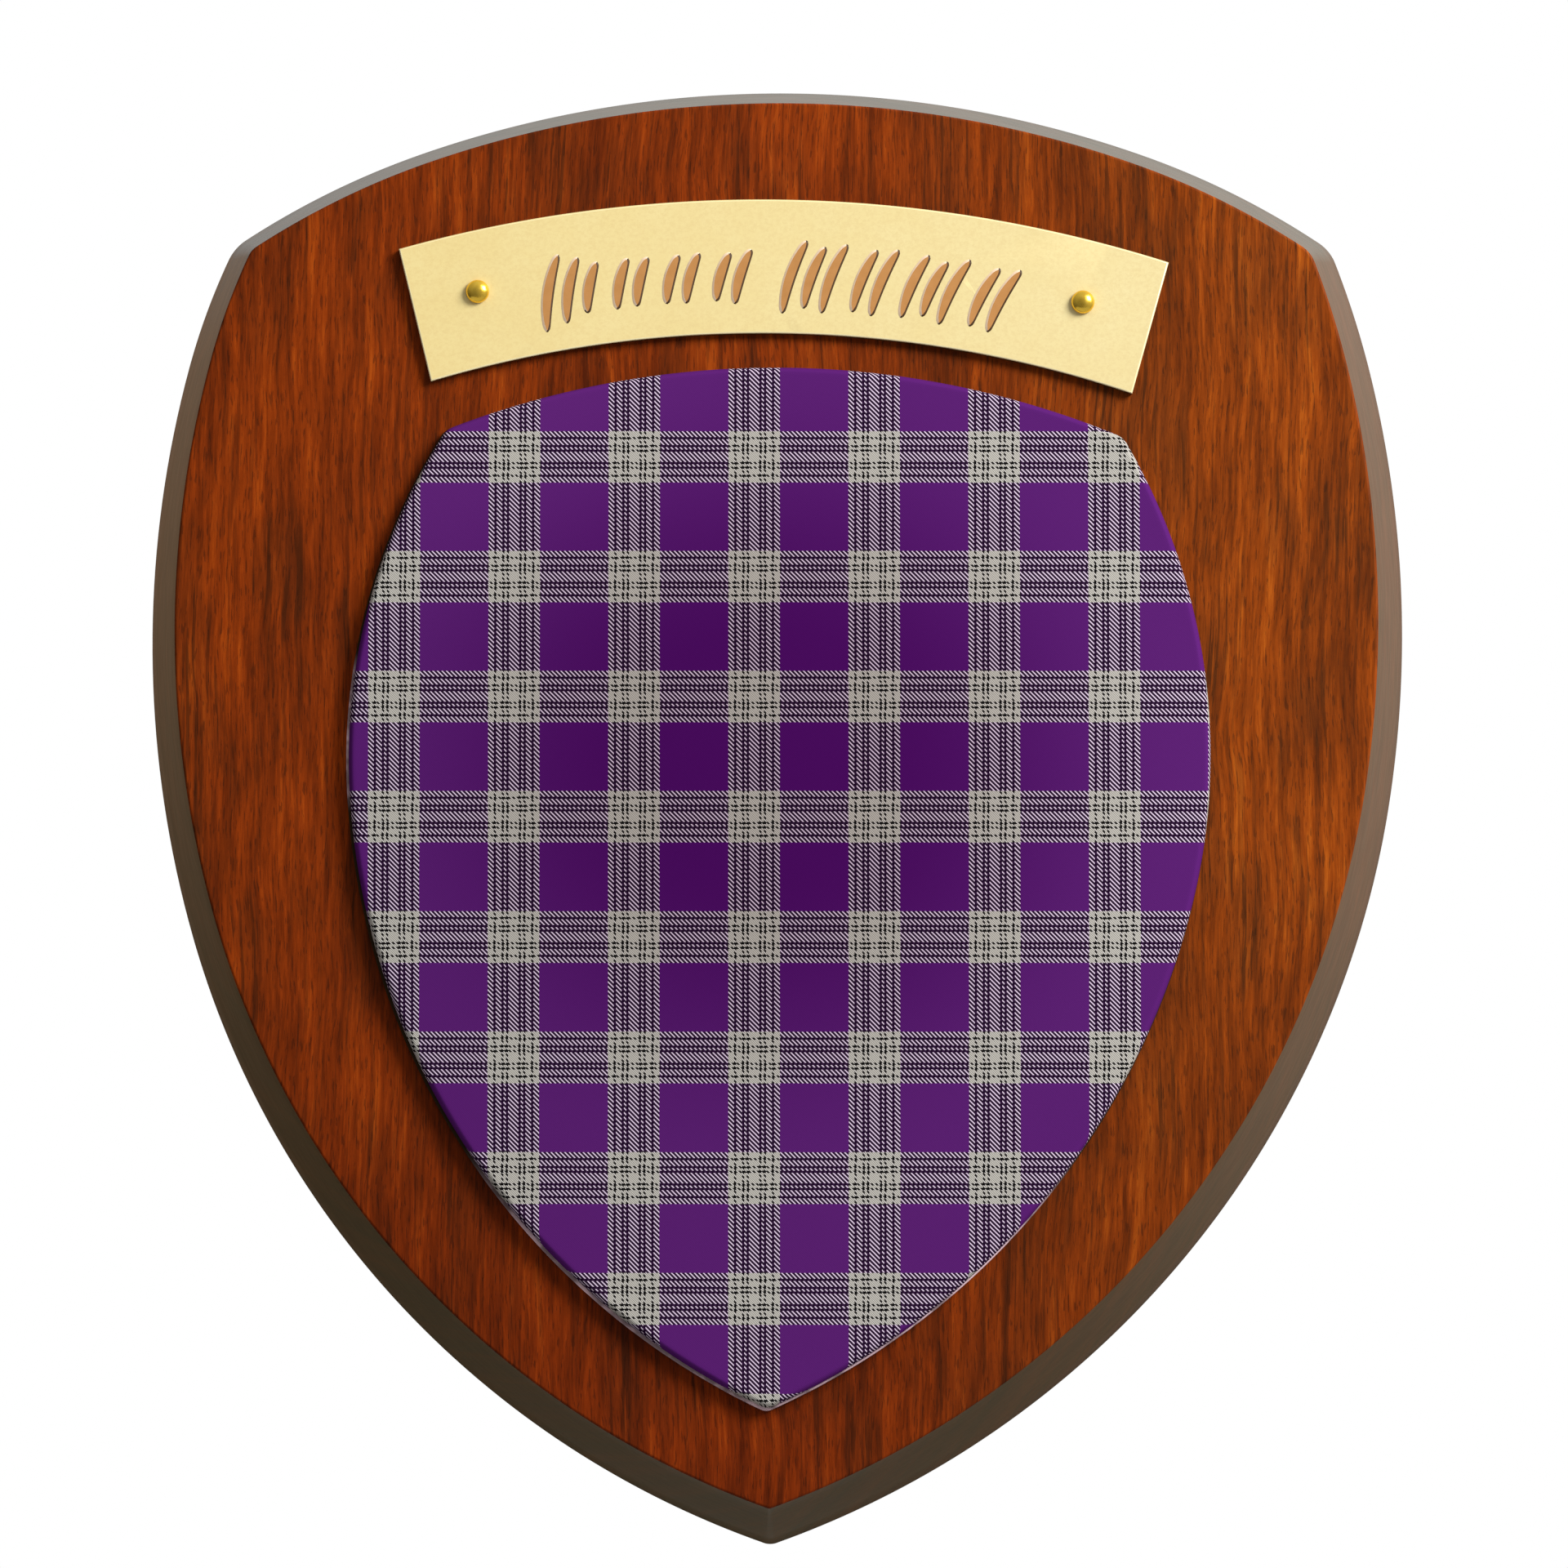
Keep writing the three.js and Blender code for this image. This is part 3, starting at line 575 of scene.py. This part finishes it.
TURN = Matrix.Rotation(PLATE_LEAN, 4, "Y")
PLATE_AT = Vector((PLATE_X, -(BOARD_T + GLUE), PLATE_TOP_Z))


def from_plate(p):
    return TURN @ Vector(p) + PLATE_AT


pins_at = [from_plate((s * PIN_X + PIN_SHIFT, -PLATE_T, -PIN_DROP)) for s in (-1, 1)]

# ------------------------------------------------------------------- board

n = (38, 18, 20, 20, 34, 88, 12)
section = []
for i in range(7):
    t = i / 6 * math.pi / 2
    section.append((BACK_ROUND * (1 - math.sin(t)), -BACK_ROUND * (1 - math.cos(t))))
lean = math.atan2(BEVEL_RUN, BOARD_T)
centre = (BOARD_T - FRONT_ROUND) * math.tan(lean) + FRONT_ROUND / math.cos(lean)
for d in (3, 6, 9, 12):
    section.append((d * math.tan(lean), -d))
for i in range(8):
    t = lerp(lean, math.pi / 2, i / 7)
    section.append((centre - FRONT_ROUND * math.cos(t), -(BOARD_T - FRONT_ROUND) - FRONT_ROUND * math.sin(t)))
rings = []
for inset, y in section:
    k = min(inset / BEVEL_RUN, 1)
    ring = outline(board_arcs, inset, k, lerp(*BOARD_TIP_R, k), n)
    rings.append([(x + BEVEL_SHIFT * y / -BOARD_T, y, z) for x, z in ring])
board = ring_mesh("board_wood", rings, mats=(wood_face(), wood_edge(), wood_back()))
outward(board)
cut(board, [rod(PIN_HOLE_R, -(BOARD_T - PIN_HOLE_L), -(BOARD_T + 1), p.x, p.z) for p in pins_at])
for f in board.data.polygons:
    f.material_index = 0 if f.normal.y < -0.3 else 2 if f.normal.y > 0.95 else 1
    if f.center.y > -14 * 0.001 and abs(f.normal.y) < 0.05 and f.area < 1e-6:
        f.material_index = 0
outward(board)

# -------------------------------------------------------------------- card

n = (36, 10, 12, 14, 28, 70, 10)
steps = [(0.05, 0.0), (0.0, 0.05), (0.0, BACKING_T - 0.14), (0.03, BACKING_T - 0.04), (0.12, BACKING_T)]
rings = [[(x + PANEL_X, -(BOARD_T + GLUE + y), z + PANEL_Z)
          for x, z in outline(panel_arcs, inset, inset / CLOTH_ROUND, PANEL_TIP_R - inset, n)]
         for inset, y in steps]
backing = ring_mesh("panel_backing", rings, mats=(card(),))
outward(backing)

# ------------------------------------------------------------- cloth panel

n = (70, 20, 18, 24, 48, 130, 14)
steps = [(0.0, 0.0), (0.0, CLOTH_FOOT * 0.5), (0.0, CLOTH_FOOT)]
for i in range(1, 11):
    t = i / 10 * math.pi / 2
    steps.append((CLOTH_ROUND * (1 - math.cos(t)), CLOTH_FOOT + (CLOTH_EDGE - CLOTH_FOOT) * math.sin(t)))
y0 = BOARD_T + GLUE + BACKING_T + GLUE


def cloth_point(x, z, h, lift):
    return Vector((x + PANEL_X + CLOTH_SET[0], -(y0 + h + lift * CLOTH_CROWN * dome(x, z)), z + PANEL_Z + CLOTH_SET[1]))


edge = [outline(panel_arcs, i + CLOTH_IN, i * 0.75 / CLOTH_ROUND, PANEL_TIP_R - i * 0.75, n) for i, _ in steps]
rings = [[cloth_point(x, z, steps[k][1], steps[k][0] / CLOTH_ROUND) for x, z in ring] for k, ring in enumerate(edge)]
last, middle = edge[-1], (0.0, PANEL["widest"] / 3)
inner = [0.006, 0.014, 0.026, 0.045] + [0.045 + 0.955 * (i / 44) ** 1.0 for i in range(1, 43)]
for t in inner:
    rings.append([cloth_point(lerp(x, middle[0], t), lerp(z, middle[1], t), CLOTH_EDGE, 1.0) for x, z in last])
cloth = ring_mesh("tartan_cloth", rings, mats=(tartan(),))

# the weave's own coordinates: flat on the dome, and carried on down the edge
co, si = math.cos(VIEW_ROLL), math.sin(VIEW_ROLL)


def weave(p):
    a = p.x - VIEW_AIM.x
    b = (p.z - VIEW_AIM.z) * math.cos(VIEW_UP) - p.y * math.sin(VIEW_UP)
    return Vector((a * co + b * si, b * co - a * si, 0.0))


flat = [weave(p) for r in rings for p in r]
count, brim = len(rings[0]), len(steps) - 1
for i in range(count):
    top, out = flat[brim * count + i], rings[0][i] - rings[brim][i]
    out = Vector((out.x, out.z)).normalized()
    run = 0.0
    for k in range(brim - 1, -1, -1):
        run += (rings[k][i] - rings[k + 1][i]).length
        flat[k * count + i] = Vector((top.x + out.x * run, top.y + out.y * run, 0.0))
at = cloth.data.attributes.new("weave", "FLOAT_VECTOR", "POINT")
for i, f in enumerate(flat):
    at.data[i].vector = f
outward(cloth)

# --------------------------------------------------------------- nameplate


def plate_outline(inset, steps=110):
    top_r, bot_r = PLATE_TOP_R - inset, PLATE_BOTTOM_R + inset
    bot_c = -PLATE_MID_H - PLATE_BOTTOM_R
    on_top = lambda x: -PLATE_TOP_R + math.sqrt(top_r * top_r - x * x)
    on_bottom = lambda x: bot_c + math.sqrt(bot_r * bot_r - x * x)
    zt = -PLATE_TOP_R + math.sqrt(PLATE_TOP_R ** 2 - PLATE_TOP_HALF ** 2)
    zb = bot_c + math.sqrt(PLATE_BOTTOM_R ** 2 - PLATE_BOTTOM_HALF ** 2)
    dx, dz = PLATE_TOP_HALF - PLATE_BOTTOM_HALF, zt - zb
    end_x = lambda z: PLATE_BOTTOM_HALF + (z - zb) * dx / dz - inset * math.hypot(dx, dz) / dz
    xt, xb = PLATE_TOP_HALF, PLATE_BOTTOM_HALF
    for _ in range(30):
        xt, xb = end_x(on_top(xt)), end_x(on_bottom(xb))
    low = [(lerp(-xb, xb, i / steps), 0) for i in range(steps + 1)]
    high = [(lerp(xt, -xt, i / steps), 0) for i in range(steps + 1)]
    return [(x, on_bottom(x)) for x, _ in low] + [(x, on_top(x)) for x, _ in high]


def stroke_outline(length, wall, side=26):
    """One stroke: a slim, slightly bowed leaf. wall moves its outline in."""
    half, left, right = length / 2, [], []
    for i in range(side + 1):
        t = i / side
        z = lerp(-half, half, t)
        fat = math.sin(math.pi * min(0.06 + t * 0.86, 1)) ** 0.45
        soft = min(1.0, (1 - (1 - min(t, 1 - t) * side / 2.2) ** 2) ** 0.5) if min(t, 1 - t) * side < 2.2 else 1.0
        w = max(STROKE_W / 2 * fat * (0.35 + 0.65 * soft) - wall, 0.04)
        z = z * (1 - 2 * wall * 1.1 / length)
        bow = 0.055 * length * (1 - (2 * t - 1) ** 2)
        left.append((-bow - w, z))
        right.append((-bow + w, z))
    return left + right[::-1]


def stroke_places():
    run, found = 0.0, []
    for length in STROKE_ROW:
        if length == 0:
            run += STROKE_GAP
            continue
        found.append((length, run))
        run += STROKE_PITCH
    mid = (found[0][1] + found[-1][1]) / 2
    for length, at_ in found:
        a = (at_ - mid) / STROKE_ARC_R
        yield length, STROKE_ARC_R * math.sin(a) - 0.6, -STROKE_MID - STROKE_ARC_R * (1 - math.cos(a)), a


c = PLATE_EDGE
steps = [(c * 0.4, 0.0), (c * 0.1, c * 0.15), (0.0, c * 0.5), (0.0, PLATE_T - c)]
for i in range(1, 6):
    t = i / 5 * math.pi / 2
    steps.append((c * (1 - math.cos(t)), PLATE_T - c + c * math.sin(t)))
rings = [[from_plate((x, -h, z)) for x, z in plate_outline(inset)] for inset, h in steps]
brass, ink_top, wall_shade, wall_highlight = plate_brass(), stroke_top(), stroke_painted_shade(), stroke_painted_highlight()
plate = ring_mesh("plate", rings, mats=(brass, ink_top, wall_shade, wall_highlight, plate_rim_highlight(), plate_side_shade()))
outward(plate)
strokes = []
for length, sx, sz, turn in stroke_places():
    spin = Matrix.Rotation(STROKE_LEAN + turn, 4, "Y")
    rr = []
    for wall, h in ((0.0, PLATE_T - 0.1), (0.0, PLATE_T + 0.005), (STROKE_WALL * 0.5, PLATE_T + STROKE_H * 0.6), (STROKE_WALL, PLATE_T + STROKE_H)):
        rr.append([from_plate(spin @ Vector((x, 0, z)) + Vector((sx, -h, sz))) for x, z in stroke_outline(length, wall)])
    s = ring_mesh("stroke", rr)
    outward(s)
    strokes.append(s)
cut(plate, strokes, "UNION")
cut(plate, [rod(PIN_HOLE_R, 0, -(BOARD_T + 3), p.x, p.z) for p in pins_at])
front = -(BOARD_T + GLUE + PLATE_T) * 0.001
for f in plate.data.polygons:
    if f.center.y < front - 0.000002:
        # painted light and shade: a stroke's flat top is copper, its walls turned to the upper left are painted pale
        # and the others dark
        flat_top = f.normal.y < -0.97
        to_light = f.normal.x * -0.75 + f.normal.z * 0.45
        f.material_index = 1 if flat_top else 3 if to_light > 0.12 else 2
    # painted highlight and shade by face direction: the rounded edge, except where it faces up, takes the pale
    # highlight rim, and the upright sides take the dark shade
    elif len(f.vertices) == 4 and f.normal.y < 0.5:
        f.material_index = 4 if f.normal.z < 0.25 and -0.999 < f.normal.y < -0.12 else 5 if abs(f.normal.y) <= 0.12 else 0
    else:
        f.material_index = 0
outward(plate)

# -------------------------------------------------------------------- pins


def pin_mesh(name, at_):
    prof = [(0.0, PIN_SHANK_L), (PIN_SHANK_R * 0.18, PIN_SHANK_L - 0.05), (PIN_SHANK_R * 0.6, PIN_SHANK_L - 0.7),
            (PIN_SHANK_R * 0.92, PIN_SHANK_L - 1.3), (PIN_SHANK_R, PIN_SHANK_L - 1.7), (PIN_SHANK_R, 0.05), (PIN_SHANK_R, -0.02),
            (PIN_HEAD_R - 0.24, -0.02), (PIN_HEAD_R - 0.10, -0.08), (PIN_HEAD_R - 0.02, -0.18), (PIN_HEAD_R, -0.25)]
    for i in range(1, 15):
        t = i / 15 * math.pi / 2
        prof.append((PIN_HEAD_R * math.cos(t), -0.28 - (PIN_HEAD_H - 0.28) * math.sin(t)))
    sides = 56
    bm = bmesh.new()
    tip = bm.verts.new(Vector((0, prof[0][1], 0)))
    loops = [[bm.verts.new(Vector((r * math.cos(2 * math.pi * i / sides), y, r * math.sin(2 * math.pi * i / sides)))) for i in range(sides)] for r, y in prof[1:]]
    crown = bm.verts.new(Vector((0, -PIN_HEAD_H, 0)))
    for i in range(sides):
        j = (i + 1) % sides
        bm.faces.new((tip, loops[0][j], loops[0][i]))
        for a, b in zip(loops, loops[1:]):
            bm.faces.new((a[i], a[j], b[j], b[i]))
        bm.faces.new((crown, loops[-1][i], loops[-1][j]))
    for v in bm.verts:
        v.co = (Matrix.Rotation(PLATE_LEAN, 4, "Y") @ v.co + at_) * 0.001
    me = bpy.data.meshes.new(name)
    bm.to_mesh(me)
    bm.free()
    ob = bpy.data.objects.new(name, me)
    scene.collection.objects.link(ob)
    me.materials.append(pin_metal)
    outward(ob)
    return ob


pin_metal = pin_brass()
pin_a, pin_b = pin_mesh("pin_head_left", pins_at[0]), pin_mesh("pin_head_right", pins_at[1])

# ------------------------------------------------------- pieces and bodies

for ob, node, slot in ((board, "shield_board", "wood"), (backing, "panel_card", "card"), (cloth, "tartan_panel", "tartan"),
                       (plate, "nameplate", "plate_brass"), (pin_a, "pin_left", "pin_brass"), (pin_b, "pin_right", "pin_brass")):
    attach(ob, "root")
    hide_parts(node)

# ------------------------------------------------------------------ studio

floor_me = bpy.data.meshes.new("floor")
floor_me.from_pydata([(-3.5, -3.5, -2.7), (3.5, -3.5, -2.7), (3.5, 3.5, -2.7), (-3.5, 3.5, -2.7)], [], [(0, 1, 2, 3)])
floor = bpy.data.objects.new("floor", floor_me)
scene.collection.objects.link(floor)
g = Nodes("floor")
p, x, y, z = g.mm()
g.set(Base_Color=g.mix(g.noise(p, 0.004, 2), (0.80, 0.80, 0.80, 1), (0.84, 0.84, 0.84, 1)), Roughness=0.8)
floor_me.materials.append(g.mat)

world = bpy.data.worlds.new("studio")
scene.world = world
world.use_nodes = True
nt = world.node_tree
nt.nodes.clear()


def wn(kind, **kw):
    node = nt.nodes.new(kind)
    for k, v in kw.items():
        setattr(node, k, v)
    return node


def wmath(op, a, b=None, clamp=False):
    node = wn("ShaderNodeMath", operation=op, use_clamp=clamp)
    for s, v in zip(node.inputs, (a, b)):
        if hasattr(v, "is_output"):
            nt.links.new(v, s)
        elif v is not None:
            s.default_value = v
    return node.outputs[0]


def wdot(d):
    node = wn("ShaderNodeVectorMath", operation="DOT_PRODUCT")
    nt.links.new(direction, node.inputs[0])
    node.inputs[1].default_value = Vector(d).normalized()
    return node.outputs[1]


def wspan(v, a, b, c_=0.0, d=1.0):
    node = wn("ShaderNodeMapRange", interpolation_type="SMOOTHSTEP")
    nt.links.new(v, node.inputs[0])
    for i, k in zip((1, 2, 3, 4), (a, b, c_, d)):
        node.inputs[i].default_value = k
    return node.outputs[0]


coord = wn("ShaderNodeTexCoord")
direction = coord.outputs["Generated"]
axis = wn("ShaderNodeSeparateXYZ")
nt.links.new(direction, axis.inputs[0])
wx, wy, wz = axis.outputs
ahead = wmath("ADD", 0.41, wmath("ADD", wmath("MULTIPLY", wx, 0.22), wmath("MULTIPLY", wz, 0.30)))
ahead = wmath("MAXIMUM", ahead, 0.08)
shade = wspan(wdot((-0.035, -0.99, 0.14)), math.cos(math.radians(40)), math.cos(math.radians(6)), 0.0, 0.12)
ahead = wmath("SUBTRACT", ahead, shade)
behind = wmath("ADD", 0.30, wmath("ADD", wmath("MULTIPLY", wx, 0.25), wmath("MULTIPLY", wz, 0.94)))
behind = wmath("ADD", behind, wspan(wz, 0.27, 0.33, 0.0, 0.11))
behind = wmath("MINIMUM", wmath("MAXIMUM", behind, 0.035), 0.85)
turn = wspan(wy, 0.5, 0.82)
level = wmath("ADD", wmath("MULTIPLY", behind, turn), wmath("MULTIPLY", ahead, wmath("SUBTRACT", 1.0, turn)))
def wmix(fac, a, b):
    node = wn("ShaderNodeMix", data_type="RGBA")
    for k, v in ((0, fac), (6, a), (7, b)):
        if hasattr(v, "is_output"):
            nt.links.new(v, node.inputs[k])
        else:
            node.inputs[k].default_value = v
    return node.outputs[2]


low = wmix(wspan(wx, -0.5, 0.5), (1.04, 0.62, 0.36, 1), (1.03, 0.63, 0.58, 1))
hue = wmix(turn, (1.0, 0.985, 0.965, 1), wmix(wspan(wz, 0.26, 0.31), low, (0.99, 1.04, 1.05, 1)))
light = wn("ShaderNodeBackground")
nt.links.new(level, light.inputs["Strength"])
nt.links.new(hue, light.inputs["Color"])
unshaded = wn("ShaderNodeBackground")
unshaded.inputs["Color"].default_value = (1, 1, 1, 1)
unshaded.inputs["Strength"].default_value = 1.0
rays = wn("ShaderNodeLightPath")
both = wn("ShaderNodeMixShader")
nt.links.new(rays.outputs["Is Camera Ray"], both.inputs[0])
nt.links.new(light.outputs[0], both.inputs[1])
nt.links.new(unshaded.outputs[0], both.inputs[2])
out = wn("ShaderNodeOutputWorld")
nt.links.new(both.outputs[0], out.inputs[0])


def soft_box(name, at_, size, watts, colour=(1, 0.98, 0.95)):
    la = bpy.data.lights.new(name, "AREA")
    la.shape, la.size, la.size_y, la.energy, la.color = "RECTANGLE", size[0], size[1], watts, colour
    ob = bpy.data.objects.new(name, la)
    scene.collection.objects.link(ob)
    ob.location = at_
    ob.rotation_mode = "QUATERNION"
    ob.rotation_quaternion = (Vector((0, 0, 0)) - Vector(at_)).to_track_quat("-Z", "Y")
    return ob


soft_box("key", (0.62, -0.56, 0.48), (0.40, 0.40), 13.0)

cam = bpy.data.cameras.new("camera")
cam.sensor_width, cam.lens = 36.0, VIEW_LENS
cam.clip_start, cam.clip_end = 0.05, 50
eye = bpy.data.objects.new("camera", cam)
scene.collection.objects.link(eye)
fw = Vector((0, math.cos(VIEW_UP), math.sin(VIEW_UP)))
rt = Vector((1, 0, 0))
up = Vector((0, -math.sin(VIEW_UP), math.cos(VIEW_UP)))
img_right, img_up = rt * co + up * si, up * co - rt * si
place = (VIEW_AIM - fw * VIEW_DIST) * 0.001
eye.matrix_world = Matrix((
    (img_right.x, img_up.x, -fw.x, place.x),
    (img_right.y, img_up.y, -fw.y, place.y),
    (img_right.z, img_up.z, -fw.z, place.z),
    (0, 0, 0, 1)))
scene.camera = eye
scene.view_settings.view_transform = "Standard"
scene.view_settings.look = "None"
scene.cycles.denoising_prefilter = "NONE"
